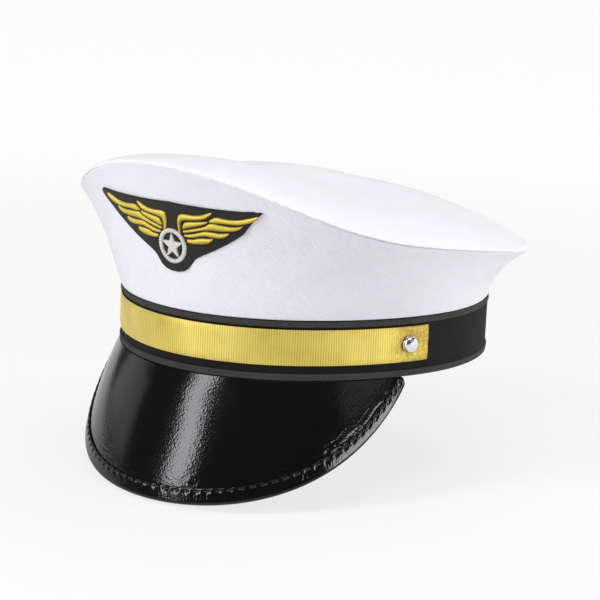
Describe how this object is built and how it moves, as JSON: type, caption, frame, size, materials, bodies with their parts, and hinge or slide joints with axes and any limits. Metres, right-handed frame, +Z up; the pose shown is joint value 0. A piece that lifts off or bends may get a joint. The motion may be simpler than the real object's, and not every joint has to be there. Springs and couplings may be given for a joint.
{
  "type": "peaked cap",
  "caption": "Peaked cap with a flared white cloth crown, a black band with a gold ribbon strap on side studs, a steep glossy visor and a winged front badge.",
  "frame": {"origin": "middle of the head opening, in the plane of the band's lower rim", "axes": "+Z up through the crown, -Y towards the front and the visor, +X to the wearer's left"},
  "size_m": [0.2222, 0.248, 0.1641],
  "materials": {
    "white_cloth": "white polyester twill, matt with a soft sheen",
    "black_cloth": "black polyester twill, matt",
    "grey_board": "pressed fibre board, unpainted",
    "black_vinyl": "glossy grained vinyl",
    "black_thread": "black sewing thread with a slight sheen",
    "gold_ribbon": "ribbed metallic gold ribbon",
    "gold_thread": "gold satin-stitch embroidery",
    "silver_thread": "silver-white satin-stitch embroidery",
    "charcoal_felt": "dark charcoal felt",
    "chrome": "polished",
    "white_lining": "thin white lining cloth",
    "white_plastic": "white plastic, matt"
  },
  "bodies": {
    "cap": {"sweatband": "black_cloth", "band_stiffener": "grey_board", "hatband": "black_cloth", "band_upper_binding": "black_cloth", "band_lower_binding": "black_cloth", "crown_side_front": "white_cloth", "crown_side_back": "white_cloth", "crown_top": "white_cloth", "crown_hoop": "white_plastic", "front_stay": "white_plastic", "crown_lining": "white_lining", "visor_skin": "black_vinyl", "visor_core": "grey_board", "visor_lining": "black_cloth", "visor_binding": "black_vinyl", "visor_topstitch": "black_thread", "badge_patch": "charcoal_felt", "badge_wing_left": "gold_thread", "badge_wing_right": "gold_thread", "badge_ring": "silver_thread", "badge_star": "silver_thread"},
    "strap": {"gold_ribbon": "gold_ribbon"},
    "left_stud": {"side_stud_left": "chrome", "stud_washer_left": "chrome"},
    "right_stud": {"side_stud_right": "chrome", "stud_washer_right": "chrome"}
  },
  "joints": [
    {"name": "strap_swing", "type": "hinge", "parent": "cap", "child": "strap", "pos_m": [0, -0.03435, 0.0159], "axis": [1, 0, 0], "range_deg": [-0.6, 2.5]},
    {"name": "left_stud_spin", "type": "hinge", "parent": "cap", "child": "left_stud", "pos_m": [0.08735, -0.03459, 0.0159], "axis": [0.929, -0.3702, 0], "continuous": true},
    {"name": "right_stud_spin", "type": "hinge", "parent": "cap", "child": "right_stud", "pos_m": [-0.08735, -0.03459, 0.0159], "axis": [-0.929, -0.3702, 0], "continuous": true}
  ]
}
